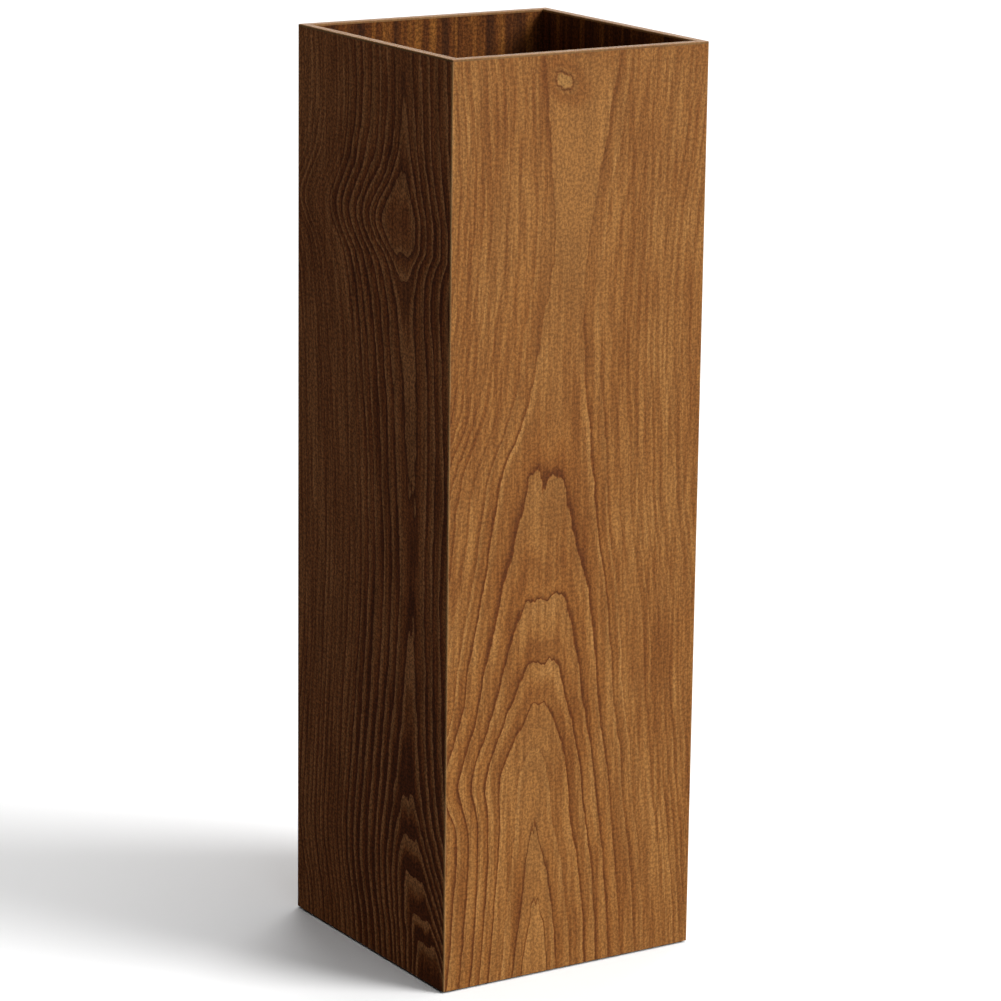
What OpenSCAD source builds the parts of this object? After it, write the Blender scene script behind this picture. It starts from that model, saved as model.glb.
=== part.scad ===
// Square umbrella stand: four mitred walls of veneered plywood round a housed base board,
// on four screwed rubber feet, with a loose drip tray that lifts out through the top.
// The origin is on the floor under the middle of the stand. The front faces -Y, and +Z is up.

/* [Body] */
// Outside width and depth of the stand
body_w = 158; // [140:1:220]
// Height of the rim above the floor
body_h = 500; // [400:5:650]
// Radius of the four eased upright corners
corner_r = 0.8; // [0.4:0.1:0.9]

/* [Walls] */
// Thickness of the plywood core of a wall
core_t = 4.5; // [4:0.5:8]
// Thickness of each veneer leaf, outside and inside
veneer_t = 0.5; // [0.4:0.1:0.6]
// Thickness of the solid lipping on a wall's top edge
lipping_t = 1.2; // [0.8:0.1:2]
// Easing on the long edges of the lipping
lipping_ease = 0.35; // [0.1:0.05:0.4]

/* [Corner splines] */
// Thickness of the loose spline in each mitre
spline_t = 1.5; // [1:0.1:1.6]
// Width of the spline, half of it in each wall
spline_w = 5; // [4:0.5:5]

/* [Base] */
// Thickness of the base board
base_t = 6; // [4:0.5:9]
// Height of the underside of the base board above the floor
base_z = 14; // [12:1:20]
// Depth of the groove in the walls that houses the base board
housing_d = 2.5; // [2:0.5:3]
// Side of the glue block under each corner of the base board
block_w = 18; // [16:1:24]

/* [Feet] */
// Height of a rubber foot
foot_h = 3; // [3:0.5:4]
// Radius of a rubber foot
foot_r = 7; // [6:0.5:8]
// Gap between the floor and the bottom edges of the walls
floor_gap = 1; // [0.5:0.5:2]

/* [Foot screws] */
// Radius of the pan head
screw_head_r = 2.8; // [2.5:0.1:3]
// Radius of the shank
screw_shank_r = 1.25; // [1:0.05:1.5]
// Overall length of the screw
screw_l = 11.5; // [9:0.5:12]

/* [Drip tray] */
// Height of the tray
tray_h = 22; // [15:1:40]
// Thickness of the tray's moulded skin
tray_skin = 1.6; // [1.2:0.2:2.4]
// Outside radius of the tray's corners
tray_corner_r = 9; // [6:1:14]
// Gap between the tray's rim and the walls
tray_gap = 1; // [0.8:0.1:2]
// Number of raised ribs on the tray's floor
tray_ribs = 7; // [5:2:9]

/* [Hidden] */
SIDES = ["front", "right", "back", "left"];
CORNERS = ["front_left", "front_right", "back_right", "back_left"];
LAYERS = ["core", "veneer", "lining", "lipping"];
quarter_turn = 90;
eps = 0.01; // how far a cutter runs past the face that it cuts

half_w = body_w / 2;
wall_t = core_t + 2 * veneer_t;
inner_half = half_w - wall_t;
walls_top = body_h - lipping_t;
corner_steps = 4; // flats on half of an eased corner
mitre_angle = 45;

spline_share = 0.64; // of a wall's thickness, from its outside face to the spline's middle
spline_inset = spline_share * wall_t;
spline_rise = 10; // from the top of the base board to the splines' lower ends
spline_foot = base_z + base_t + spline_rise;

block_chamfer = block_w / 3;
foot_inset = 8.5; // from the inside faces of the walls to the foot's middle
foot_bevel = 0.4;
counterbore_r = screw_head_r + 0.4;
counterbore_d = foot_h / 2;
screw_head_h = 1;
screw_head_dome = 0.4;
screw_tip = 1.5;
screw_play = 0.05; // between the shank and the hole in the block
foot_play = 0.35; // between the shank and the hole in the foot
slot_w = 0.6;
slot_l = 3.2;
slot_d = 0.6;

tray_z = base_z + base_t;
tray_flange = 1.4;
tray_draft = 2;
tray_half = inner_half - tray_gap - tray_flange; // outside of the skin under the flange
tray_foot_half = tray_half - tray_draft;
tray_slice = 0.2; // thickness of the slabs that the tub is drawn between
tray_corner_steps = 8;
rib_w = 1.8;
rib_h = 2.4;
rib_gutter = 7; // clear floor between the ribs' ends and the skin

plywood = [0.78, 0.62, 0.42];
walnut = [0.56, 0.37, 0.20];
walnut_dark = [0.40, 0.25, 0.14];
oiled_edge = [0.74, 0.56, 0.37];
beech = [0.80, 0.64, 0.45];
rubber = [0.09, 0.09, 0.09];
zinc = [0.70, 0.70, 0.68];
moulded = [0.13, 0.12, 0.11];

// Points along an arc about a centre, from one angle to another.
function arc(centre, r, from, to, steps) =
    [for (i = [0 : steps]) let (a = from + (to - from) * i / steps) centre + r * [cos(a), sin(a)]];

// Outline of a square with round corners.
function round_square(half, r, steps) =
    [for (k = [0 : 3]) each arc(
        (half - r) * [k == 0 || k == 3 ? 1 : -1, k < 2 ? 1 : -1], r,
        k * quarter_turn, (k + 1) * quarter_turn, steps
    )];

// Plan of one layer of the front wall, mitred at both ends. Depths are from the outside face.
function layer_plan(outer, inner) =
    let (
        r = max(corner_r - outer, 0),
        edge = half_w - outer,
        left = [-edge + r, -edge + r],
        right = [edge - r, -edge + r]
    ) concat(
        r > 0 ? arc(left, r, 180 + mitre_angle, 270, corner_steps) : [left],
        r > 0 ? arc(right, r, 270, 360 - mitre_angle, corner_steps) : [right],
        [[half_w - inner, -half_w + inner], [-half_w + inner, -half_w + inner]]
    );

module wall_layer(outer, inner, top) {
    translate([0, 0, floor_gap])
        linear_extrude(top - floor_gap)
            polygon(layer_plan(outer, inner));
}

// Groove for the base board, cut through everything inside its depth.
module housing() {
    groove_half = inner_half + housing_d;
    translate([-half_w, -groove_half, base_z])
        cube([body_w, groove_half, base_t]);
}

// Loose tongue across the front left mitre, and the slot that it fills.
module spline(top) {
    middle = half_w - spline_inset;
    translate([-middle, -middle, (spline_foot + top) / 2])
        rotate([0, 0, -mitre_angle])
            cube([spline_w, spline_t, top - spline_foot], center = true);
}

module wall_core() {
    color(plywood)
        difference() {
            wall_layer(veneer_t, veneer_t + core_t, walls_top);
            housing();
            for (flip = [0, 1])
                mirror([flip, 0, 0]) spline(walls_top + eps);
        }
}

module wall_veneer() {
    color(walnut) wall_layer(0, veneer_t, walls_top);
}

module wall_lining() {
    color(walnut_dark)
        difference() {
            wall_layer(veneer_t + core_t, wall_t, walls_top);
            housing();
        }
}

module wall_lipping() {
    color(oiled_edge)
        hull() {
            translate([0, 0, walls_top])
                linear_extrude(lipping_t - lipping_ease)
                    polygon(layer_plan(0, wall_t));
            translate([0, 0, walls_top])
                linear_extrude(lipping_t)
                    polygon(layer_plan(lipping_ease, wall_t - lipping_ease));
        }
}

module corner_spline() {
    color(beech) spline(walls_top);
}

// Stands at the middle of the front left foot.
module at_foot() {
    middle = inner_half - foot_inset;
    translate([-middle, -middle, 0]) children();
}

module corner_block() {
    outside = -inner_half;
    inside = -inner_half + block_w;
    color(beech)
        difference() {
            translate([0, 0, foot_h])
                linear_extrude(base_z - foot_h)
                    polygon([
                        [outside, outside],
                        [inside, outside],
                        [inside, inside - block_chamfer],
                        [inside - block_chamfer, inside],
                        [outside, inside]
                    ]);
            at_foot()
                translate([0, 0, foot_h - eps])
                    cylinder(h = screw_l - counterbore_d + eps, r = screw_shank_r + screw_play, $fn = 32);
        }
}

module corner_foot() {
    bore_r = screw_shank_r + foot_play;
    color(rubber)
        at_foot()
            rotate_extrude($fn = 64)
                polygon([
                    [counterbore_r, 0],
                    [foot_r - foot_bevel, 0],
                    [foot_r, foot_bevel],
                    [foot_r, foot_h],
                    [bore_r, foot_h],
                    [bore_r, counterbore_d],
                    [counterbore_r, counterbore_d]
                ]);
}

module foot_screw() {
    head_z = counterbore_d - screw_head_h;
    color(zinc)
        at_foot()
            difference() {
                rotate_extrude($fn = 48)
                    polygon([
                        [0, head_z],
                        [screw_head_r - screw_head_dome, head_z],
                        [screw_head_r, head_z + screw_head_dome],
                        [screw_head_r, counterbore_d],
                        [screw_shank_r, counterbore_d],
                        [screw_shank_r, head_z + screw_l - screw_tip],
                        [0, head_z + screw_l]
                    ]);
                for (turn = [0, quarter_turn])
                    rotate([0, 0, turn])
                        translate([0, 0, head_z + (slot_d - eps) / 2])
                            cube([slot_l, slot_w, slot_d + eps], center = true);
            }
}

module base_board() {
    side = 2 * (inner_half + housing_d);
    color(plywood)
        translate([-side / 2, -side / 2, base_z])
            cube([side, side, base_t]);
}

module tray_slab(half, r, thickness) {
    linear_extrude(thickness) polygon(round_square(half, r, tray_corner_steps));
}

// Tapered tub between the tray's floor and its rim, grown by an offset.
module tray_tub(grow, bottom, top) {
    hull() {
        translate([0, 0, bottom])
            tray_slab(tray_foot_half + grow, tray_corner_r + grow, tray_slice);
        translate([0, 0, top - tray_slice])
            tray_slab(tray_half + grow, tray_corner_r + grow, tray_slice);
    }
}

module drip_tray() {
    rib_l = 2 * (tray_foot_half - tray_skin - rib_gutter);
    rib_step = rib_l / (tray_ribs - 1);
    color(moulded)
        translate([0, 0, tray_z]) {
            difference() {
                union() {
                    tray_tub(0, 0, tray_h);
                    translate([0, 0, tray_h - tray_skin])
                        tray_slab(tray_half + tray_flange, tray_corner_r + tray_flange, tray_skin);
                }
                tray_tub(-tray_skin, tray_skin, tray_h + eps);
            }
            for (i = [0 : tray_ribs - 1])
                translate([-rib_l / 2 + i * rib_step - rib_w / 2, -rib_l / 2, tray_skin - eps])
                    cube([rib_w, rib_l, rib_h + eps]);
        }
}

for (i = [0 : 3]) {
    rotate([0, 0, i * quarter_turn]) {
        wall_core();
        wall_veneer();
        wall_lining();
        wall_lipping();
        corner_spline();
        corner_block();
        corner_foot();
        foot_screw();  // foot_screws
    }
}
base_board();
drip_tray();
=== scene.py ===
import math

import bmesh
import bpy
from mathutils import Matrix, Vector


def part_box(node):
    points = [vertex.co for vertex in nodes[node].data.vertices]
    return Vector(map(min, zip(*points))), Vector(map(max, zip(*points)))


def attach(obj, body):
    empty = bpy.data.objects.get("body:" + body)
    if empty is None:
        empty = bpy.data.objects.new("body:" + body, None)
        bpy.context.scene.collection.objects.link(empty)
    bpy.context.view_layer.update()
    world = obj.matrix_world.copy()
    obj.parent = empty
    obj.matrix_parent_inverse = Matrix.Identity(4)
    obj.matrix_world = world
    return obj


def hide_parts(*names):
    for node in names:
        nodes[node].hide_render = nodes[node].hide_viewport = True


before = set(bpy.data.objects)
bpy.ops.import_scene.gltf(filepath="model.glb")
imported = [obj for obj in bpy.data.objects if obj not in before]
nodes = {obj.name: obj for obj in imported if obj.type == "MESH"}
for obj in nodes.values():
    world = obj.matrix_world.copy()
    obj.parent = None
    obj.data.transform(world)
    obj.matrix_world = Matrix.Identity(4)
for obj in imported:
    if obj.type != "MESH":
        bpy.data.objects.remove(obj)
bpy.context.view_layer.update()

# Looks of a square veneered umbrella stand. Lengths are millimetres inside the wood patterns and
# metres everywhere else. The four sides are named as the frame names them, a quarter turn apart.

MM = 0.001
SIDES = ("front", "right", "back", "left")
CORNERS = ("front_left", "front_right", "back_right", "back_left")
QUARTER = math.pi / 2

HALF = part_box("front_veneer")[1].x
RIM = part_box("front_lipping")[1].z
FACE_W = 2 * HALF / MM  # a side's width and height in millimetres, as the patterns use them
FACE_H = RIM / MM


# ---------------------------------------------------------------------------------------------
# Short ways to build a material or a node group

class Sheet:
    """The node tree of one material or one group."""

    def __init__(self, tree):
        self.tree = tree

    def feed(self, socket, value):
        if isinstance(value, bpy.types.NodeSocket):
            self.tree.links.new(value, socket)
        elif value is not None:
            socket.default_value = value

    def add(self, kind, settings=None, **inputs):
        """A node whose inputs are named as its sockets are, with _ for a space."""
        node = self.tree.nodes.new("ShaderNode" + kind)
        for name, value in (settings or {}).items():
            setattr(node, name, value)
        for name, value in inputs.items():
            self.feed(node.inputs[name.replace("_", " ")], value)
        return node

    def calc(self, operation, *values, clamp=False):
        node = self.add("Math", {"operation": operation, "use_clamp": clamp})
        for socket, value in zip(node.inputs, values):
            self.feed(socket, value)
        return node.outputs[0]

    def step(self, value, start, end, low=0.0, high=1.0):
        """A smooth rise from low to high as the value goes from start to end."""
        node = self.add("MapRange", {"interpolation_type": "SMOOTHSTEP"}, Value=value,
                        From_Min=start, From_Max=end, To_Min=low, To_Max=high)
        return node.outputs[0]

    def spread(self, value, low, high):
        """A noise value, which mostly lies from 0.3 to 0.7, spread from low to high."""
        node = self.add("MapRange", {"clamp": False}, Value=value, From_Min=0.3, From_Max=0.7,
                        To_Min=low, To_Max=high)
        return node.outputs[0]

    def vector(self, x, y, z=0.0):
        return self.add("CombineXYZ", X=x, Y=y, Z=z).outputs[0]

    def noise(self, across, up, wide, tall, seed=0.0, detail=2.0, rough=0.5):
        """Noise whose marks are about so many millimetres wide and tall."""
        place = self.vector(self.calc("DIVIDE", across, wide), self.calc("DIVIDE", up, tall), seed)
        node = self.add("TexNoise", None, Vector=place, Scale=1.0, Detail=detail, Roughness=rough)
        return node.outputs["Fac"]

    def curve(self, value, reach, height, points):
        """A smooth curve through given points, each so far along and so high."""
        node = self.add("FloatCurve", None, Value=self.calc("DIVIDE", value, reach))
        line = node.mapping.curves[0]
        placed = [(along / reach, high / height) for along, high in points]
        line.points[0].location, line.points[1].location = placed[0], placed[-1]
        for place in placed[1:-1]:
            line.points.new(*place)
        node.mapping.update()
        return self.calc("MULTIPLY", node.outputs[0], height)

    def ramp(self, value, stops):
        """Colours along a value, each stop a place and a colour."""
        node = self.add("ValToRGB", None, Fac=value)
        elements = node.color_ramp.elements
        for index, (place, colour) in enumerate(stops):
            stop = elements[index] if index < 2 else elements.new(place)
            stop.position, stop.color = place, (*colour, 1.0)
        return node.outputs["Color"]

    def blend(self, amount, first, second, way="MIX"):
        """One colour laid over another."""
        node = self.add("Mix", {"data_type": "RGBA", "blend_type": way})
        for index, value in ((0, amount), (6, first), (7, second)):
            self.feed(node.inputs[index], (*value, 1.0) if isinstance(value, tuple) else value)
        return node.outputs[2]

    def shade(self, colour, amount, low, high):
        """A colour made darker or lighter as an amount goes from 0 to 1."""
        tone = self.step(amount, 0.0, 1.0, low, high)
        return self.blend(1.0, colour, self.vector(tone, tone, tone), "MULTIPLY")

    def use(self, group, **inputs):
        node = self.add("Group", {"node_tree": group}, **inputs)
        return node.outputs


def new_group(name, inputs, outputs):
    """A shader node group, with its sheet and its own inputs and outputs."""
    tree = bpy.data.node_groups.new(name, "ShaderNodeTree")
    for label, value in inputs.items():
        socket = tree.interface.new_socket(name=label, in_out="INPUT", socket_type="NodeSocketFloat")
        socket.default_value = value
    for label in outputs:
        tree.interface.new_socket(name=label, in_out="OUTPUT", socket_type="NodeSocketFloat")
    start, end = tree.nodes.new("NodeGroupInput"), tree.nodes.new("NodeGroupOutput")
    return tree, Sheet(tree), start.outputs, end.inputs


def new_material(name):
    """A material with its sheet and its Principled shader."""
    material = bpy.data.materials.new(name)
    material.use_nodes = True
    sheet = Sheet(material.node_tree)
    return material, sheet, material.node_tree.nodes["Principled BSDF"]


def relief(sheet, shader, height, depth):
    """Feeds a height in millimetres to the shader's normal, so deep at most."""
    bump = sheet.add("Bump", None, Height=height, Strength=1.0, Distance=depth * MM)
    sheet.feed(shader.inputs["Normal"], bump.outputs[0])


def side_place(sheet, turn):
    """Across a side from its left edge, up it, and in from its outside face, in millimetres."""
    place = sheet.add("TexCoord").outputs["Object"]
    turned = sheet.add("Mapping", None, Vector=place, Rotation=(0.0, 0.0, -turn * QUARTER),
                       Location=(HALF, HALF, 0.0)).outputs[0]
    scaled = sheet.add("VectorMath", {"operation": "SCALE"}, Vector=turned, Scale=1 / MM).outputs[0]
    return sheet.add("SeparateXYZ", None, Vector=scaled).outputs[:]


# ---------------------------------------------------------------------------------------------
# Effects that several finishes share

ROUNDNESS = 1.33  # of the rings in section: 1 gives straight-sided arches and 2 gives circles


def make_growth_rings():
    """How far a point of a leaf lay from the heart of the log that it was cut from.

    Crown is half the width over which the rings were flat, which gives arches their blunt two-pronged
    tops. Slope is about how fast the distance changes over the leaf, which keeps ring lines one width."""
    group, sheet, given, result = new_group(
        "growth rings",
        {"Across": 0.0, "Up": 0.0, "Centre": 79.0, "Depth": 20.0, "Crown": 3.0, "Seed": 0.0},
        ("Radius", "Slope"))
    across, up, seed = given["Across"], given["Up"], given["Seed"]
    broad = sheet.spread(sheet.noise(across, up, 34, 120, seed, 1.0), -1.1, 1.1)
    close = sheet.spread(sheet.noise(across, up, 8, 38, sheet.calc("ADD", seed, 7.3), 2.0), -0.55, 0.55)
    fine = sheet.spread(sheet.noise(across, up, 2.2, 7, sheet.calc("ADD", seed, 3.9), 1.0), -0.2, 0.2)
    swayed = sheet.calc("ADD", across, sheet.calc("ADD", sheet.calc("ADD", broad, close), fine))
    offset = sheet.calc("ABSOLUTE", sheet.calc("SUBTRACT", swayed, given["Centre"]))
    flank = sheet.calc("MAXIMUM", sheet.calc("SUBTRACT", offset, given["Crown"]), 0.0)
    dip = sheet.step(offset, 0.0, given["Crown"], 0.35, 0.0)
    ragged = sheet.spread(sheet.noise(across, up, 5, 16, sheet.calc("ADD", seed, 1.7), 2.0), -0.45, 0.45)
    depth = sheet.calc("ADD", given["Depth"], sheet.calc("ADD", ragged, dip))
    total = sheet.calc("ADD", sheet.calc("POWER", flank, ROUNDNESS), sheet.calc("POWER", depth, ROUNDNESS))
    sheet.feed(result["Radius"], sheet.calc("POWER", total, 1 / ROUNDNESS))
    sheet.feed(result["Slope"], sheet.step(flank, 0.0, 9.0, 0.22, 1.0))
    return group


WIDE_RING = 8.5  # millimetres, of the rings that have bold lines
NARROW_RING = 4.2  # of the rings beyond them
LINE_EDGE = 0.35  # from a ring's edge to where its line is darkest
LINE_FADE = (0.5, 2.3)  # from a ring's edge, to where its line begins and ends to fade


def make_ring_figure():
    """The dark line that starts each ring, and the tone: dark outside the line and pale just inside it."""
    group, sheet, given, result = new_group(
        "ring figure", {"Ring": 0.0, "Slope": 1.0, "Bold Rings": 8.0, "Quiet Ring": 3.0, "Seed": 0.0},
        ("Line", "Tone"))
    ring = given["Ring"]
    whole, part = sheet.calc("FLOOR", ring), sheet.calc("FRACT", ring)
    chance = sheet.add("TexWhiteNoise", {"noise_dimensions": "1D"},
                       W=sheet.calc("ADD", whole, given["Seed"])).outputs["Value"]
    gap = sheet.step(whole, given["Bold Rings"], sheet.calc("ADD", given["Bold Rings"], 3.0),
                     WIDE_RING, NARROW_RING)
    beyond = sheet.calc("DIVIDE", sheet.calc("MULTIPLY", part, gap), given["Slope"])
    rise = sheet.step(beyond, 0.0, LINE_EDGE)
    fall = sheet.step(beyond, *LINE_FADE, 1.0, 0.0)
    bold = sheet.calc("LESS_THAN", whole, sheet.calc("ADD", given["Bold Rings"], 0.5))
    faint = sheet.step(chance, 0.0, 1.0, 0.25, 0.7)
    quiet = sheet.step(sheet.calc("ABSOLUTE", sheet.calc("SUBTRACT", whole, given["Quiet Ring"])),
                       0.0, 1.0, 0.25, 1.0)
    strength = sheet.calc("MULTIPLY", quiet,
                          sheet.calc("MAXIMUM", faint, sheet.calc("MULTIPLY", bold, 0.95)))
    line = sheet.calc("MULTIPLY", sheet.calc("MULTIPLY", rise, fall), strength)
    fade = sheet.calc("POWER", sheet.calc("SUBTRACT", 1.0, part), 1.6)
    early = sheet.calc("MULTIPLY", sheet.step(part, 0.55, 0.92), 0.38)
    sheet.feed(result["Line"], line)
    sheet.feed(result["Tone"], sheet.calc("MULTIPLY", sheet.calc("SUBTRACT", fade, early), strength))
    return group


def make_wood_fibres():
    """Streaks along the grain, short open pores, the soft mottle of cut fibres, and broad clouds."""
    group, sheet, given, result = new_group(
        "wood fibres", {"Across": 0.0, "Up": 0.0, "Ring": 0.0, "Seed": 0.0},
        ("Streak", "Pore", "Mottle", "Cloud"))
    across, up, ring, seed = given["Across"], given["Up"], given["Ring"], given["Seed"]
    along_rings = sheet.noise(ring, up, 0.42, 110, seed, 2.0, 0.6)
    straight = sheet.noise(across, up, 2.4, 70, seed, 2.0, 0.6)
    streak = sheet.calc("ADD", sheet.calc("MULTIPLY", along_rings, 0.5),
                        sheet.calc("MULTIPLY", straight, 0.5))
    long_pores = sheet.noise(across, up, 0.7, 5.5, sheet.calc("ADD", seed, 11.0), 1.0)
    short_pores = sheet.noise(across, up, 0.9, 2.6, sheet.calc("ADD", seed, 5.0), 1.0)
    pore = sheet.calc("MAXIMUM", sheet.step(long_pores, 0.55, 0.70), sheet.step(short_pores, 0.55, 0.72))
    mottle = sheet.noise(across, up, 1.5, 1.6, seed, 1.0, 0.7)
    cloud = sheet.noise(across, up, 24, 70, seed, 3.0)
    sheet.feed(result["Streak"], sheet.step(streak, 0.37, 0.63))
    sheet.feed(result["Pore"], pore)
    sheet.feed(result["Mottle"], sheet.step(mottle, 0.32, 0.68))
    sheet.feed(result["Cloud"], sheet.step(cloud, 0.3, 0.7))
    return group


def make_knot():
    """A small leaning knot: its pale eye, the dark skin round it and the stained wood beside it."""
    group, sheet, given, result = new_group(
        "knot", {"Across": 0.0, "Up": 0.0, "Knot Across": 79.0, "Knot Up": 250.0, "Lean": 0.6,
                 "Long": 6.5, "Short": 4.0},
        ("Eye", "Skin", "Stain"))
    right = sheet.calc("SUBTRACT", given["Across"], given["Knot Across"])
    rise = sheet.calc("SUBTRACT", given["Up"], given["Knot Up"])
    cos, sin = sheet.calc("COSINE", given["Lean"]), sheet.calc("SINE", given["Lean"])
    along = sheet.calc("SUBTRACT", sheet.calc("MULTIPLY", right, cos), sheet.calc("MULTIPLY", rise, sin))
    out = sheet.calc("ADD", sheet.calc("MULTIPLY", right, sin), sheet.calc("MULTIPLY", rise, cos))
    ripple = sheet.spread(sheet.noise(right, rise, 4, 4, 0.4, 2.0), -0.22, 0.22)
    reach = sheet.calc("SQRT", sheet.calc("ADD",
                       sheet.calc("POWER", sheet.calc("DIVIDE", along, given["Long"]), 2.0),
                       sheet.calc("POWER", sheet.calc("DIVIDE", out, given["Short"]), 2.0)))
    reach = sheet.calc("ADD", reach, ripple)
    sheet.feed(result["Eye"], sheet.step(reach, 0.62, 0.9, 1.0, 0.0))
    sheet.feed(result["Skin"], sheet.calc("MULTIPLY", sheet.step(reach, 0.75, 0.98),
                                          sheet.step(reach, 1.0, 1.3, 1.0, 0.0)))
    sheet.feed(result["Stain"], sheet.calc("MULTIPLY", sheet.step(reach, 1.1, 1.6),
                                           sheet.step(reach, 1.8, 3.4, 1.0, 0.0)))
    return group


def make_edge_wear_and_highlight():
    """Rubbed arrises of the box, partly real wear and partly a painted highlight: its upright corners, its
    rim and its bottom edges.
    """
    group, sheet, given, result = new_group(
        "edge wear and highlight", {"Across": 0.0, "Up": 0.0, "Reach": 1.0, "Seed": 0.0}, ("Wear And Highlight",))
    across, up = given["Across"], given["Up"]
    sides = sheet.calc("MINIMUM", across, sheet.calc("SUBTRACT", FACE_W, across))
    ends = sheet.calc("MINIMUM", up, sheet.calc("SUBTRACT", FACE_H, up))
    nearest = sheet.calc("MINIMUM", sides, ends)
    uneven_reach = sheet.spread(sheet.noise(across, up, 3, 12, given["Seed"], 3.0), -0.35, 0.35)
    edge = sheet.calc("ADD", sheet.calc("DIVIDE", nearest, given["Reach"]), uneven_reach)
    sheet.feed(result["Wear And Highlight"], sheet.step(edge, 0.25, 1.0, 1.0, 0.0))
    return group


def make_dust():
    """Fine dust and lint: a thin even film that thickens into specks."""
    group, sheet, given, result = new_group(
        "dust", {"Across": 0.0, "Up": 0.0, "In": 0.0, "Amount": 0.3}, ("Dust",))
    across, up, inward = given["Across"], given["Up"], given["In"]
    film = sheet.noise(across, sheet.calc("ADD", up, inward), 9, 9, 2.0, 4.0, 0.65)
    specks = sheet.noise(across, sheet.calc("SUBTRACT", up, inward), 0.8, 0.8, 5.0, 2.0)
    dust = sheet.calc("ADD", sheet.step(film, 0.42, 0.75), sheet.step(specks, 0.64, 0.72, 0.0, 0.8))
    sheet.feed(result["Dust"], sheet.calc("MULTIPLY", dust, given["Amount"], clamp=True))
    return group


GROWTH_RINGS = make_growth_rings()
RING_FIGURE = make_ring_figure()
WOOD_FIBRES = make_wood_fibres()
KNOT = make_knot()
EDGE_WEAR_AND_HIGHLIGHT = make_edge_wear_and_highlight()
DUST = make_dust()


# ---------------------------------------------------------------------------------------------
# Veneers

# Oiled wood: its ring lines and pores, the wood from darkest to palest, a knot's eye, rubbed edges with
# a painted highlight on them, and the plainer wood of the linings.
LINE_BROWN = (0.140, 0.038, 0.0078)
PORE_BROWN = (0.105, 0.031, 0.0065)
DEEP_BROWN = (0.150, 0.044, 0.0090)
RED_BROWN = (0.265, 0.086, 0.0165)
TAN = (0.355, 0.140, 0.0325)
PALE_TAN = (0.435, 0.198, 0.053)
FRESH_TAN = (0.500, 0.240, 0.070)
KNOT_TAN = (0.48, 0.245, 0.070)
# The edge colour below is partly rubbed wood and partly a painted highlight along the arrises.
WORN_HIGHLIGHT_TAN = (0.47, 0.25, 0.095)
LINING_DARK = (0.046, 0.0135, 0.0030)
LINING_BROWN = (0.125, 0.038, 0.0065)
LINING_PALE = (0.250, 0.092, 0.0165)

# How each leaf was cut and finished. These lists go up the leaf from its bottom edge, in millimetres:
#   centre   where the heart of the log lies across the leaf
#   depth    how deep behind the leaf the heart runs
#   crown    half the breadth of the arches' tops
#   line     how bold the rings' lines and tones are, from 0 to 1
#   heart    how pale the wood is along the heart line, from 0 to 1
# The other values are:
#   seed     number that picks the leaf's own unevenness
#   rings    which ring lies at each distance from the heart
#   bold     the last ring with a bold line, counted from the heart
#   quiet    a ring with a faint line, or a number below 0 for none
#   grit     strength of the fine mottle and the pores
#   banding  strength of the tone beside the lines
#    tint     stain over the whole leaf; on the left leaf partly the redder hue of painted shade
#   calm     from where to where across the leaf the figure fades, and the share that is left
#   kink     height of a bend in the lines near the left edge, and how far they step there
#   knot     place across and up, lean, half length and half breadth
RING_WIDTHS = [(0, 0), (7, 1), (12.5, 2), (21, 3), (30, 4), (38, 5), (46, 6), (54.4, 7), (63.3, 8),
               (69, 9), (75, 10), (81.5, 11), (85.5, 12), (129.5, 23)]
FRONT_LEAF = {
    "seed": 2.0,
    "centre": [(0, 57), (60, 57), (113, 54.5), (150, 57), (217, 59.5), (280, 61), (313, 66),
               (340, 67.5), (395, 73), (450, 77), (500, 78.5)],
    "depth": [(0, 3), (50, 8), (82, 12.5), (113, 16), (133, 22.5), (150, 29), (178, 38.5), (217, 47),
              (247, 52), (280, 54.6), (313, 59.3), (340, 60.6), (395, 62.2), (450, 58.7), (500, 54.5)],
    "crown": [(0, 3), (100, 1), (152, 3), (178, 8), (217, 11), (280, 10.5), (340, 7), (500, 6)],
    "rings": RING_WIDTHS,
    "bold": 8,
    "quiet": 3,
    "grit": 0.85,
    "banding": 0.42,
    "line": [(0, 0.85), (170, 0.9), (290, 0.85), (330, 0.5), (420, 0.42), (500, 0.5)],
    "heart": [(0, 0.55), (120, 0.6), (170, 0.1), (330, 0.05), (400, 0.5), (440, 0.85), (500, 0.3)],
    "tint": (0.94, 0.905, 0.90),
    "calm": (84, 125, 0.5),
    "kink": (113, 10.0),
    "knot": (68, 485, 0.65, 6.8, 4.2),
}
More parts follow.
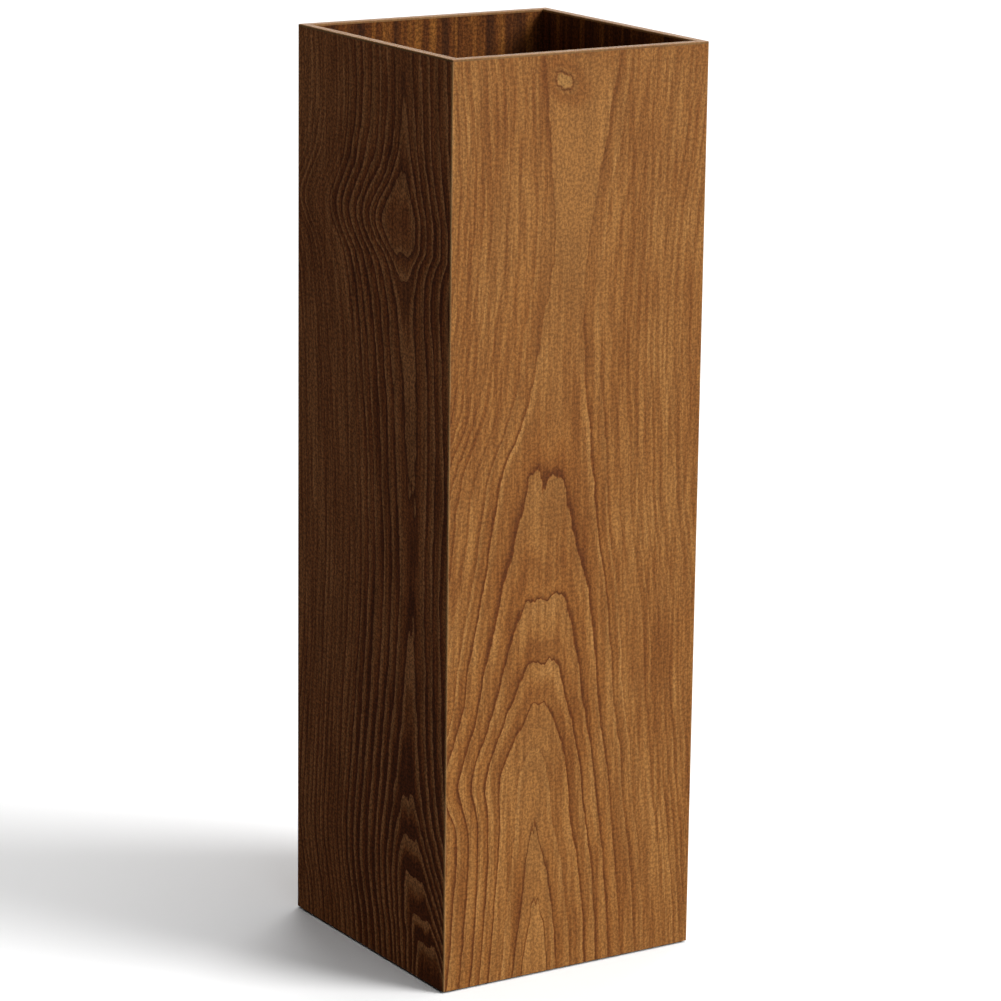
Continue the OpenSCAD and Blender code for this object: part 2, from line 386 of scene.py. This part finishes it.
LEFT_LEAF = {
    "seed": 31.0,
    "centre": [(0, 145), (20, 140), (36, 133), (57, 126), (78, 122), (100, 120), (193, 122), (253, 122),
               (337, 117), (367, 113), (393, 109.5), (408, 105.5), (416, 106), (427, 108), (438, 110),
               (500, 110)],
    "depth": [(0, 1), (23, 7), (36, 11), (57, 16), (78, 21.5), (100, 26), (130, 28), (165, 29.2),
              (195, 30.7), (212, 31.6), (235, 31.6), (258, 30.7), (283, 30.2), (313, 29.8), (340, 29),
              (367, 27.5), (382, 25), (391, 22), (398, 19.3), (406, 18.3), (415, 18.5), (426, 19.8),
              (434, 21), (441, 22.3), (453, 24.3), (475, 26), (500, 27.5)],
    "crown": [(0, 9), (23, 8), (57, 7), (78, 6), (100, 5), (140, 3), (193, 2), (337, 3), (385, 4),
              (398, 8.5), (409, 10), (421, 6.5), (431, 3), (441, 1), (500, 2)],
    "rings": [(0, 0), (7, 1), (11, 2), (16, 3), (21.5, 4), (26, 5), (30.7, 6), (37, 7), (43, 8), (50, 9),
              (57.5, 10), (63.5, 11), (70, 12), (129.5, 25)],
    "bold": 11,
    "quiet": -5,
    "grit": 1.35,
    "banding": 1.6,
    "line": [(0, 1.0), (105, 1.0), (140, 0.75), (200, 0.55), (280, 0.42), (340, 0.5), (385, 0.62),
             (430, 0.62), (462, 0.4), (500, 0.4)],
    "heart": [(0, 0.0), (120, 0.0), (200, 0.0), (300, 0.1), (380, 0.2), (430, 0.1), (450, 0.2), (500, 0.2)],
    # The left leaf's tint is partly painted shade: the redder hue that side shows in shadow.
    "tint": (1.04, 0.87, 1.05),
    "calm": (70, 30, 0.75),
    "kink": None,
    "knot": None,
}
PLAIN_LEAF = {
    "rings": RING_WIDTHS,
    "bold": 8,
    "quiet": 3,
    "grit": 0.9,
    "banding": 0.45,
    "line": [(0, 0.5), (180, 0.6), (260, 0.85), (500, 0.9)],
    "heart": [(0, 0.6), (80, 0.7), (180, 0.1), (330, 0.1), (420, 0.5), (500, 0.5)],
    "tint": (1.0, 0.98, 1.0),
    "calm": (84, 125, 0.8),
    "kink": None,
    "knot": None,
}
RIGHT_LEAF = PLAIN_LEAF | {
    "seed": 57.0,
    "centre": [(0, 92), (140, 88), (300, 80), (400, 84), (500, 88)],
    "depth": [(0, 58), (90, 50), (180, 40), (260, 28), (330, 17), (400, 7), (500, 3)],
    "crown": [(0, 8), (180, 9), (330, 4), (500, 2)],
}
BACK_LEAF = PLAIN_LEAF | {
    "seed": 83.0,
    "centre": [(0, 70), (120, 72), (250, 84), (380, 80), (500, 74)],
    "depth": [(0, 6), (80, 14), (160, 27), (240, 40), (320, 51), (400, 59), (450, 60), (500, 57)],
    "crown": [(0, 2), (160, 5), (320, 10), (500, 8)],
    "knot": (98, 392, -0.5, 5.5, 3.6),
}
LEAVES = {"front": FRONT_LEAF, "right": RIGHT_LEAF, "back": BACK_LEAF, "left": LEFT_LEAF}
DEEPEST = 129.5  # distance from the heart, and number of rings, at which the curves above end
MOST_RINGS = 25.0

KINK_BELOW = 26  # millimetres over which the lines step, below and above the bend
KINK_ABOVE = 4
KINK_SPAN = (2, 46)  # across the leaf, from where the step is whole to where it is gone


def kinked(sheet, across, up, kink):
    """Lines near the left edge that step back to the right below a bend in the trunk."""
    if not kink:
        return across
    height, shift = kink
    below = sheet.step(up, height - KINK_BELOW, height + KINK_ABOVE, shift, 0.0)
    near_edge = sheet.step(across, *KINK_SPAN, 1.0, 0.0)
    return sheet.calc("SUBTRACT", across, sheet.calc("MULTIPLY", below, near_edge))


def outer_veneer(side, leaf):
    """A crown-cut leaf, oiled and rubbed down, with its arches drawn by the rings of the log."""
    material, sheet, shader = new_material(f"{side}_veneer_leaf")
    across, _, up = side_place(sheet, SIDES.index(side))
    seed = leaf["seed"]
    centre = sheet.curve(up, FACE_H, FACE_W, leaf["centre"])
    depth = sheet.curve(up, FACE_H, DEEPEST, leaf["depth"])
    crown = sheet.curve(up, FACE_H, FACE_W, leaf["crown"])
    bent = kinked(sheet, across, up, leaf["kink"])
    growth = sheet.use(GROWTH_RINGS, Across=bent, Up=up, Centre=centre, Depth=depth, Crown=crown,
                       Seed=seed)
    ring = sheet.curve(growth["Radius"], DEEPEST, MOST_RINGS, leaf["rings"])
    figure = sheet.use(RING_FIGURE, Ring=ring, Slope=growth["Slope"], Bold_Rings=leaf["bold"],
                       Quiet_Ring=leaf["quiet"], Seed=seed)
    fibres = sheet.use(WOOD_FIBRES, Across=across, Up=up, Ring=ring, Seed=seed)

    calm_from, calm_to, calm_share = leaf["calm"]
    boldness = sheet.calc("MULTIPLY", sheet.curve(up, FACE_H, 1.0, leaf["line"]),
                          sheet.step(across, calm_from, calm_to, 1.0, calm_share))
    bands = sheet.calc("MULTIPLY", sheet.calc("MULTIPLY", figure["Tone"], leaf["banding"]), boldness)
    tone = sheet.calc("ADD", bands, sheet.calc("MULTIPLY", fibres["Streak"], 0.36))
    tone = sheet.calc("ADD", tone, sheet.calc("MULTIPLY", fibres["Cloud"], 0.22), clamp=True)
    colour = sheet.ramp(tone, [(0.0, FRESH_TAN), (1.0, DEEP_BROWN), (0.12, PALE_TAN), (0.42, TAN),
                               (0.76, RED_BROWN)])
    heart = sheet.step(sheet.calc("SUBTRACT", growth["Radius"], depth), 0.5, 7.0, 1.0, 0.0)
    heart = sheet.calc("MULTIPLY", heart, sheet.curve(up, FACE_H, 1.0, leaf["heart"]))
    colour = sheet.blend(heart, colour, PALE_TAN)
    colour = sheet.blend(sheet.calc("MULTIPLY", figure["Line"], boldness), colour, LINE_BROWN)
    if leaf["knot"]:
        knot_across, knot_up, lean, long_half, short_half = leaf["knot"]
        knot = sheet.use(KNOT, Across=across, Up=up, Knot_Across=knot_across, Knot_Up=knot_up,
                         Lean=lean, Long=long_half, Short=short_half)
        colour = sheet.blend(sheet.calc("MULTIPLY", knot["Stain"], 0.55), colour, RED_BROWN)
        colour = sheet.blend(sheet.calc("MULTIPLY", knot["Eye"], 0.85), colour, KNOT_TAN)
        colour = sheet.blend(sheet.calc("MULTIPLY", knot["Skin"], 0.75), colour, LINE_BROWN)
    grit = leaf["grit"]
    # The tint is a stain, and on the left leaf partly a painted shade hue.
    colour = sheet.blend(1.0, colour, leaf["tint"], "MULTIPLY")
    colour = sheet.shade(colour, fibres["Mottle"], 1.0 + 0.26 * grit, 1.0 - 0.26 * grit)
    colour = sheet.shade(colour, fibres["Streak"], 1.0 + 0.10 * grit, 1.0 - 0.12 * grit)
    colour = sheet.blend(sheet.calc("MULTIPLY", fibres["Pore"], 0.30 * grit), colour, PORE_BROWN)
    # Lighter edges: partly rubbed wear, partly a painted highlight where the eased arrises catch the light.
    wear_and_highlight = sheet.use(EDGE_WEAR_AND_HIGHLIGHT, Across=across, Up=up, Reach=0.9, Seed=seed)["Wear And Highlight"]
    colour = sheet.blend(sheet.calc("MULTIPLY", wear_and_highlight, 0.8), colour, WORN_HIGHLIGHT_TAN)

    sheet.feed(shader.inputs["Base Color"], colour)
    gloss = sheet.calc("ADD", sheet.step(fibres["Streak"], 0.0, 1.0, 0.48, 0.58),
                       sheet.calc("MULTIPLY", fibres["Pore"], 0.2))
    sheet.feed(shader.inputs["Roughness"], gloss)
    shader.inputs["Specular IOR Level"].default_value = 0.22
    height = sheet.calc("SUBTRACT", sheet.calc("MULTIPLY", fibres["Streak"], 0.3),
                        sheet.calc("ADD", fibres["Pore"], sheet.calc("MULTIPLY", figure["Line"], 0.4)))
    relief(sheet, shader, height, 0.05)
    return material


def inner_lining(side):
    """A plain quarter-cut leaf for the inside, with straight stripes and a matt oil."""
    material, sheet, shader = new_material(f"{side}_lining_leaf")
    across, _, up = side_place(sheet, SIDES.index(side))
    seed = 120.0 + 13.0 * SIDES.index(side)
    radius = sheet.use(GROWTH_RINGS, Across=across, Up=up, Centre=-70.0, Depth=25.0, Crown=2.0,
                       Seed=seed)["Radius"]
    ring = sheet.calc("DIVIDE", radius, 7.5)
    figure = sheet.use(RING_FIGURE, Ring=ring, Bold_Rings=4.0, Seed=seed)
    fibres = sheet.use(WOOD_FIBRES, Across=across, Up=up, Ring=ring, Seed=seed)
    stripe = sheet.step(sheet.noise(across, up, 9, 400, seed, 3.0, 0.65), 0.37, 0.62)
    tone = sheet.calc("ADD", sheet.calc("MULTIPLY", stripe, 0.68),
                      sheet.calc("MULTIPLY", fibres["Streak"], 0.32))
    colour = sheet.ramp(tone, [(0.08, LINING_PALE), (0.9, LINING_DARK), (0.4, LINING_BROWN)])
    colour = sheet.blend(sheet.calc("MULTIPLY", figure["Line"], 0.5), colour, LINE_BROWN)
    colour = sheet.shade(colour, fibres["Mottle"], 1.35, 0.65)
    colour = sheet.blend(sheet.calc("MULTIPLY", fibres["Pore"], 0.35), colour, PORE_BROWN)
    rub = sheet.calc("MULTIPLY", sheet.step(up, 30.0, 75.0, 1.0, 0.0),
                     sheet.step(sheet.noise(across, up, 6, 30, seed, 4.0), 0.45, 0.62))
    colour = sheet.blend(sheet.calc("MULTIPLY", rub, 0.25), colour, LINING_PALE)
    sheet.feed(shader.inputs["Base Color"], colour)
    sheet.feed(shader.inputs["Roughness"], sheet.step(fibres["Mottle"], 0.0, 1.0, 0.60, 0.74))
    shader.inputs["Specular IOR Level"].default_value = 0.1
    relief(sheet, shader, sheet.calc("SUBTRACT", fibres["Streak"], fibres["Pore"]), 0.06)
    return material


LIPPING_TAN = (0.222, 0.104, 0.031)
LIPPING_PALE = (0.300, 0.156, 0.056)
MITRE_GLUE = (0.04, 0.22)  # from the middle of a mitre, where its dark glue line is whole and gone


def rim_lipping(side):
    """The solid strip on a wall's top edge: pale straight grain along the strip, with a waxed feel."""
    material, sheet, shader = new_material(f"{side}_rim_strip")
    across, inward, _ = side_place(sheet, SIDES.index(side))
    seed = 200.0 + 9.0 * SIDES.index(side)
    fibres = sheet.use(WOOD_FIBRES, Across=inward, Up=across, Ring=sheet.calc("DIVIDE", inward, 2.0),
                       Seed=seed)
    colour = sheet.ramp(fibres["Streak"], [(0.0, LIPPING_PALE), (1.0, LIPPING_TAN)])
    colour = sheet.shade(colour, fibres["Mottle"], 1.14, 0.86)
    colour = sheet.blend(sheet.calc("MULTIPLY", fibres["Pore"], 0.4), colour, RED_BROWN)
    from_left = sheet.calc("ABSOLUTE", sheet.calc("SUBTRACT", across, inward))
    other_end = sheet.calc("SUBTRACT", FACE_W, across)
    from_right = sheet.calc("ABSOLUTE", sheet.calc("SUBTRACT", other_end, inward))
    mitre = sheet.step(sheet.calc("MINIMUM", from_left, from_right), *MITRE_GLUE, 1.0, 0.0)
    colour = sheet.blend(sheet.calc("MULTIPLY", mitre, 0.7), colour, LINE_BROWN)
    sheet.feed(shader.inputs["Base Color"], colour)
    sheet.feed(shader.inputs["Roughness"], sheet.step(fibres["Pore"], 0.0, 1.0, 0.42, 0.6))
    shader.inputs["Specular IOR Level"].default_value = 0.35
    relief(sheet, shader, sheet.calc("SUBTRACT", fibres["Streak"], fibres["Pore"]), 0.04)
    return material


# ---------------------------------------------------------------------------------------------
# Plywood, beech, rubber, zinc and the tray's moulded plastic

PLY_FACE = (0.560, 0.375, 0.200)
PLY_DARK = (0.360, 0.205, 0.090)
GLUE_BROWN = (0.140, 0.070, 0.030)


def plywood(name, turn, into, start, ply):
    """Raw birch plywood. Its plies lie one behind another along one direction, with dark glue between
    them, and every second ply shows its end grain."""
    material, sheet, shader = new_material(name)
    across, inward, up = side_place(sheet, turn)
    depth = inward if into == "wall" else up
    along = up if into == "wall" else inward
    layer = sheet.calc("DIVIDE", sheet.calc("SUBTRACT", depth, start), ply)
    odd = sheet.calc("GREATER_THAN", sheet.calc("FRACT", sheet.calc("MULTIPLY", layer, 0.5)), 0.5)
    fibres = sheet.use(WOOD_FIBRES, Across=along, Up=across, Ring=sheet.calc("DIVIDE", along, 6.0),
                       Seed=7.0)
    end_grain = sheet.step(sheet.noise(across, depth, 0.5, 0.5, 3.0, 2.0), 0.4, 0.62)
    colour = sheet.ramp(fibres["Streak"], [(0.0, PLY_FACE), (1.0, PLY_DARK)])
    colour = sheet.blend(sheet.calc("MULTIPLY", fibres["Cloud"], 0.35), colour, PLY_DARK)
    sawn = sheet.calc("MULTIPLY", odd, sheet.calc("MULTIPLY", end_grain, 0.6))
    colour = sheet.blend(sawn, colour, PLY_DARK)
    edge = sheet.calc("PINGPONG", layer, 0.5)
    colour = sheet.blend(sheet.step(edge, 0.03, 0.09, 0.8, 0.0), colour, GLUE_BROWN)
    colour = sheet.shade(colour, fibres["Mottle"], 1.12, 0.86)
    sheet.feed(shader.inputs["Base Color"], colour)
    sheet.feed(shader.inputs["Roughness"], sheet.step(fibres["Mottle"], 0.0, 1.0, 0.66, 0.82))
    shader.inputs["Specular IOR Level"].default_value = 0.25
    relief(sheet, shader, sheet.calc("SUBTRACT", fibres["Streak"], end_grain), 0.08)
    return material


BEECH_PALE = (0.600, 0.385, 0.220)
BEECH_PINK = (0.470, 0.260, 0.135)
BEECH_FLECK = (0.270, 0.125, 0.055)


def beech():
    """Planed beech: even pinkish wood with short dark ray flecks and sawn, slightly furry edges."""
    material, sheet, shader = new_material("planed_beech")
    across, inward, up = side_place(sheet, 0)
    fibres = sheet.use(WOOD_FIBRES, Across=inward, Up=across, Ring=sheet.calc("DIVIDE", inward, 5.0),
                       Seed=41.0)
    fleck = sheet.step(sheet.noise(across, inward, 2.6, 0.7, 6.0, 1.0), 0.58, 0.68)
    upright = sheet.step(sheet.noise(across, up, 0.8, 2.6, 9.0, 1.0), 0.60, 0.70)
    colour = sheet.ramp(fibres["Streak"], [(0.0, BEECH_PALE), (1.0, BEECH_PINK)])
    flecks = sheet.calc("MULTIPLY", sheet.calc("MAXIMUM", fleck, upright), 0.6)
    colour = sheet.blend(flecks, colour, BEECH_FLECK)
    colour = sheet.shade(colour, fibres["Mottle"], 1.12, 0.86)
    sheet.feed(shader.inputs["Base Color"], colour)
    sheet.feed(shader.inputs["Roughness"], sheet.step(fibres["Cloud"], 0.0, 1.0, 0.58, 0.72))
    shader.inputs["Specular IOR Level"].default_value = 0.3
    relief(sheet, shader, sheet.calc("SUBTRACT", fibres["Streak"], fleck), 0.05)
    return material


DUST_GREY = (0.300, 0.275, 0.240)
RUBBER_BLACK = (0.010, 0.010, 0.010)
RUBBER_BLOOM = (0.030, 0.029, 0.028)
ZINC_WHITE = (0.62, 0.62, 0.60)
ZINC_YELLOW = (0.60, 0.54, 0.40)


def foot_rubber():
    """Black moulded rubber, matt, with a fine bloom and a little floor dust."""
    material, sheet, shader = new_material("foot_rubber")
    across, inward, up = side_place(sheet, 0)
    grain = sheet.noise(across, sheet.calc("ADD", inward, up), 0.35, 0.35, 1.0, 3.0)
    dust = sheet.use(DUST, Across=across, Up=up, In=inward, Amount=0.35)["Dust"]
    colour = sheet.ramp(grain, [(0.35, RUBBER_BLACK), (0.65, RUBBER_BLOOM)])
    colour = sheet.blend(dust, colour, DUST_GREY)
    sheet.feed(shader.inputs["Base Color"], colour)
    sheet.feed(shader.inputs["Roughness"], sheet.step(grain, 0.3, 0.7, 0.68, 0.88))
    shader.inputs["Specular IOR Level"].default_value = 0.35
    relief(sheet, shader, grain, 0.04)
    return material


def screw_zinc():
    """Bright zinc plate with a faint yellow tinge, fine turning marks and dulled high spots."""
    material, sheet, shader = new_material("zinc_plate")
    across, inward, up = side_place(sheet, 0)
    tinge = sheet.step(sheet.noise(across, inward, 2.0, 2.0, 4.0, 2.0), 0.35, 0.65)
    turning = sheet.noise(up, sheet.calc("ADD", across, inward), 0.12, 2.5, 8.0, 2.0)
    colour = sheet.ramp(tinge, [(0.0, ZINC_WHITE), (1.0, ZINC_YELLOW)])
    colour = sheet.shade(colour, turning, 1.1, 0.8)
    sheet.feed(shader.inputs["Base Color"], colour)
    shader.inputs["Metallic"].default_value = 1.0
    sheet.feed(shader.inputs["Roughness"], sheet.step(turning, 0.3, 0.7, 0.26, 0.44))
    relief(sheet, shader, turning, 0.02)
    return material


MOULDED_DARK = (0.0130, 0.0105, 0.0085)
MOULDED_LIGHT = (0.0300, 0.0250, 0.0210)
LIME_GREY = (0.190, 0.175, 0.155)


def tray_plastic(floor_up):
    """Dark moulded plastic with a fine spark-eroded grain, scuffs, and dried drip rings on its floor."""
    material, sheet, shader = new_material("tray_plastic")
    across, inward, up = side_place(sheet, 0)
    plan = sheet.vector(across, inward, up)
    grain = sheet.add("TexNoise", None, Vector=plan, Scale=2.6, Detail=3.0, Roughness=0.6).outputs["Fac"]
    slantwise = sheet.calc("ADD", across, inward), sheet.calc("SUBTRACT", across, inward)
    scuffs = sheet.step(sheet.noise(*slantwise, 1.1, 26, 3.0, 3.0), 0.60, 0.70)
    spots = sheet.add("TexVoronoi", {"feature": "F1"}, Vector=plan, Scale=0.055, Randomness=1.0)
    wobble = sheet.spread(sheet.noise(across, inward, 6, 6, 6.0, 2.0), -0.03, 0.03)
    reach = sheet.calc("ADD", spots.outputs["Distance"], wobble)
    ring = sheet.calc("MULTIPLY", sheet.step(reach, 0.20, 0.25), sheet.step(reach, 0.25, 0.31, 1.0, 0.0))
    low_down = sheet.step(up, floor_up + 1.5, floor_up + 6.0, 1.0, 0.0)
    lime = sheet.calc("MULTIPLY", sheet.calc("MULTIPLY", ring, low_down), 0.2)
    dust = sheet.use(DUST, Across=across, Up=up, In=inward, Amount=0.12)["Dust"]
    colour = sheet.ramp(grain, [(0.35, MOULDED_DARK), (0.65, MOULDED_LIGHT)])
    colour = sheet.blend(sheet.calc("MULTIPLY", scuffs, 0.12), colour, LIME_GREY)
    colour = sheet.blend(lime, colour, LIME_GREY)
    colour = sheet.blend(dust, colour, DUST_GREY)
    sheet.feed(shader.inputs["Base Color"], colour)
    sheet.feed(shader.inputs["Roughness"], sheet.step(grain, 0.3, 0.7, 0.44, 0.62))
    shader.inputs["Specular IOR Level"].default_value = 0.45
    relief(sheet, shader, grain, 0.05)
    return material


def dress(node, material):
    """Gives a frame node its finish."""
    mesh = nodes[node].data
    mesh.materials.clear()
    mesh.materials.append(material)


WALL_PLY = 0.9
BASE_PLY = 1.2
VENEER = 0.5
for side, leaf in LEAVES.items():
    dress(f"{side}_veneer", outer_veneer(side, leaf))
    dress(f"{side}_lining", inner_lining(side))
    dress(f"{side}_lipping", rim_lipping(side))
    dress(f"{side}_core", plywood(f"{side}_core_plywood", SIDES.index(side), "wall", VENEER, WALL_PLY))

board_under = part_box("base_board")[0].z / MM
dress("base_board", plywood("base_plywood", 0, "board", board_under, BASE_PLY))
dress("foot_screws", screw_zinc())
beech_finish, rubber_finish = beech(), foot_rubber()
for corner in CORNERS:
    dress(f"{corner}_spline", beech_finish)
    dress(f"{corner}_block", beech_finish)
    dress(f"{corner}_foot", rubber_finish)


# ---------------------------------------------------------------------------------------------
# Drip tray

TRAY_SKIN = 1.6 * MM
TRAY_CORNER = 9.0 * MM
TRAY_FLANGE = 1.4 * MM
TRAY_DRAFT = 2.0 * MM
RIB_COUNT = 7
RIB_WIDTH = 1.8 * MM
RIB_HEIGHT = 2.4 * MM
RIB_GUTTER = 7.0 * MM  # clear floor between the ribs' ends and the skin
RIB_SUNK = 0.3 * MM
RIB_END_ROUND = 0.48 * RIB_WIDTH
RIB_CREST_ROUND = 0.5 * MM
UNDER_FILLET = 2.2 * MM
FLOOR_FILLET = 2.0 * MM
FLANGE_ROUND = 0.45 * MM
SMOOTH_BELOW = math.radians(40)  # edges that turn by less than this are shaded smooth


def push_out(points, shift, offset, arc_centre):
    """Moves the points of a rounded square loop out: straight out by a shift, and square to it by an
    offset, which also changes the radius of its corners."""
    for point in points:
        side_x, side_y = math.copysign(1.0, point.co.x), math.copysign(1.0, point.co.y)
        round_x, round_y = abs(point.co.x) - arc_centre, abs(point.co.y) - arc_centre
        reach = math.hypot(round_x, round_y)
        point.co.x += side_x * (shift + offset * round_x / reach)
        point.co.y += side_y * (shift + offset * round_y / reach)


def draw_rim(shape, shift, offset, rise, arc_centre):
    """Draws the open rim of a sheet out and up, and gives the new rim's edges."""
    rim = [edge for edge in shape.edges if edge.is_boundary]
    made = bmesh.ops.extrude_edge_only(shape, edges=rim)["geom"]
    points = [item for item in made if isinstance(item, bmesh.types.BMVert)]
    push_out(points, shift, offset, arc_centre)
    bmesh.ops.translate(shape, verts=points, vec=(0, 0, rise))
    return [item for item in made if isinstance(item, bmesh.types.BMEdge) and item.is_boundary]


def soften(shape, edges, radius, steps):
    """Rounds edges over."""
    bmesh.ops.bevel(shape, geom=edges, offset=radius, offset_type="OFFSET", segments=steps, profile=0.5,
                    affect="EDGES", material=-1, clamp_overlap=True)


def add_rib(shape, x, length, low_z):
    """A rib with round ends and a rounded top, sunk a little into the tray's floor."""
    height = RIB_HEIGHT + RIB_SUNK
    place = Matrix.Translation((x, 0, low_z - RIB_SUNK + height / 2))
    size = Matrix.Diagonal((RIB_WIDTH, length, height, 1.0))
    rib = bmesh.new()
    bmesh.ops.create_cube(rib, size=1.0, matrix=place @ size)
    upright = [edge for edge in rib.edges if abs(edge.verts[0].co.z - edge.verts[1].co.z) > height / 2]
    soften(rib, upright, RIB_END_ROUND, 5)
    top = max(point.co.z for point in rib.verts)
    crest = [edge for edge in rib.edges if all(point.co.z > top - MM / 100 for point in edge.verts)]
    soften(rib, crest, RIB_CREST_ROUND, 3)
    mesh = bpy.data.meshes.new("rib")
    rib.to_mesh(mesh)
    rib.free()
    shape.from_mesh(mesh)
    bpy.data.meshes.remove(mesh)


def mould_tray():
    """The tray as it is moulded: a drafted tub with filleted floor edges, a flat rim and seven ribs."""
    low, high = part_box("drip_tray")
    tall = high.z - low.z
    foot_half = high.x - TRAY_FLANGE - TRAY_DRAFT
    foot_arc = foot_half - TRAY_CORNER
    rim_arc = foot_arc + TRAY_DRAFT
    shape = bmesh.new()
    made = bmesh.ops.create_grid(shape, x_segments=1, y_segments=1, size=foot_half,
                                 matrix=Matrix.Translation((0, 0, low.z)))
    bmesh.ops.bevel(shape, geom=made["verts"], offset=TRAY_CORNER, offset_type="OFFSET", segments=10,
                    profile=0.5, affect="VERTICES", material=-1)
    under_edge = [edge for edge in shape.edges if edge.is_boundary]
    draw_rim(shape, TRAY_DRAFT, 0.0, tall - TRAY_SKIN, foot_arc)
    flange_low = draw_rim(shape, 0.0, TRAY_FLANGE, 0.0, rim_arc)
    flange_high = draw_rim(shape, 0.0, 0.0, TRAY_SKIN, rim_arc)
    lip = draw_rim(shape, 0.0, -TRAY_FLANGE - TRAY_SKIN, 0.0, rim_arc)
    floor_edge = draw_rim(shape, -TRAY_DRAFT, 0.0, TRAY_SKIN - tall, rim_arc)
    bmesh.ops.contextual_create(shape, geom=floor_edge)
    soften(shape, under_edge, UNDER_FILLET, 5)
    soften(shape, floor_edge, FLOOR_FILLET, 5)
    soften(shape, flange_low + flange_high + lip, FLANGE_ROUND, 3)
    bmesh.ops.recalc_face_normals(shape, faces=shape.faces)
    rib_length = 2 * (foot_half - TRAY_SKIN - RIB_GUTTER)
    for index in range(RIB_COUNT):
        add_rib(shape, rib_length * (index / (RIB_COUNT - 1) - 0.5), rib_length, low.z + TRAY_SKIN)
    for face in shape.faces:
        face.smooth = True
    mesh = bpy.data.meshes.new("tray_moulding")
    shape.to_mesh(mesh)
    shape.free()
    mesh.set_sharp_from_angle(angle=SMOOTH_BELOW)
    mesh.materials.append(tray_plastic((low.z + TRAY_SKIN) / MM))
    tray = bpy.data.objects.new("tray_moulding", mesh)
    bpy.context.scene.collection.objects.link(tray)
    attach(tray, "tray")
    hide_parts("drip_tray")


mould_tray()


# ---------------------------------------------------------------------------------------------
# Camera, floor and lights

CAMERA_PLACE = (-1.1409, -1.8001, 0.7783)
CAMERA_YAW = math.radians(32.441)  # to the right of straight ahead, towards +Y
CAMERA_PITCH = math.radians(14.063)  # down from level
CAMERA_ROLL = math.radians(0.758)
SENSOR_WIDTH = 36.0  # millimetres, as the focal length is
FOCAL_LENGTH = 145.0
FLOOR_HALF = 14.0
FLOOR_DROP = 0.1 * MM  # below the feet, so that the two don't flicker through each other
FLOOR_WHITE = (0.9, 0.9, 0.9)  # as it is seen
FLOOR_BOUNCE = (0.04, 0.04, 0.04)  # as it lights the stand
ROOM_GREY = (0.03, 0.03, 0.03, 1.0)


def place_camera():
    """A long lens in front and to the left of the stand, a little above its rim."""
    lens = bpy.data.cameras.new("camera")
    lens.sensor_width = SENSOR_WIDTH
    lens.lens = FOCAL_LENGTH
    camera = bpy.data.objects.new("camera", lens)
    turn = Matrix.Rotation(-CAMERA_YAW, 4, "Z")
    tilt = Matrix.Rotation(QUARTER - CAMERA_PITCH, 4, "X")
    roll = Matrix.Rotation(CAMERA_ROLL, 4, "Z")
    camera.matrix_world = Matrix.Translation(CAMERA_PLACE) @ turn @ tilt @ roll
    bpy.context.scene.collection.objects.link(camera)
    bpy.context.scene.camera = camera


def pale_floor():
    """A pale seamless floor, which throws little light back up at the stand."""
    mesh = bpy.data.meshes.new("floor")
    shape = bmesh.new()
    bmesh.ops.create_grid(shape, x_segments=1, y_segments=1, size=FLOOR_HALF,
                          matrix=Matrix.Translation((0, 0, -FLOOR_DROP)))
    shape.to_mesh(mesh)
    shape.free()
    floor = bpy.data.objects.new("floor", mesh)
    bpy.context.scene.collection.objects.link(floor)
    material, sheet, shader = new_material("pale_floor")
    seen = sheet.add("LightPath").outputs["Is Camera Ray"]
    sheet.feed(shader.inputs["Base Color"], sheet.blend(seen, FLOOR_BOUNCE, FLOOR_WHITE))
    shader.inputs["Roughness"].default_value = 0.9
    shader.inputs["Specular IOR Level"].default_value = 0.0
    mesh.materials.append(material)


def soft_light(name, strength, spread, azimuth, elevation):
    """A broad distant lamp: azimuth 0 shines from the front, 90 from the right."""
    lamp = bpy.data.lights.new(name, "SUN")
    lamp.energy = strength
    lamp.angle = math.radians(spread)
    light = bpy.data.objects.new(name, lamp)
    light.rotation_euler = (math.radians(90 - elevation), 0.0, math.radians(azimuth))
    bpy.context.scene.collection.objects.link(light)


def light_the_stage():
    """One strong lamp for the front, weak ones for the other sides, and a nearly dark room."""
    soft_light("key", strength=3.6, spread=30, azimuth=42, elevation=32)
    soft_light("top", strength=1.6, spread=40, azimuth=30, elevation=80)
    soft_light("back", strength=1.3, spread=40, azimuth=140, elevation=40)
    soft_light("left", strength=0.36, spread=20, azimuth=-90, elevation=1)
    world = bpy.data.worlds.new("studio")
    world.use_nodes = True
    world.node_tree.nodes["Background"].inputs["Color"].default_value = ROOM_GREY
    bpy.context.scene.world = world
    bpy.context.scene.view_settings.view_transform = "Standard"


place_camera()
pale_floor()
light_the_stage()
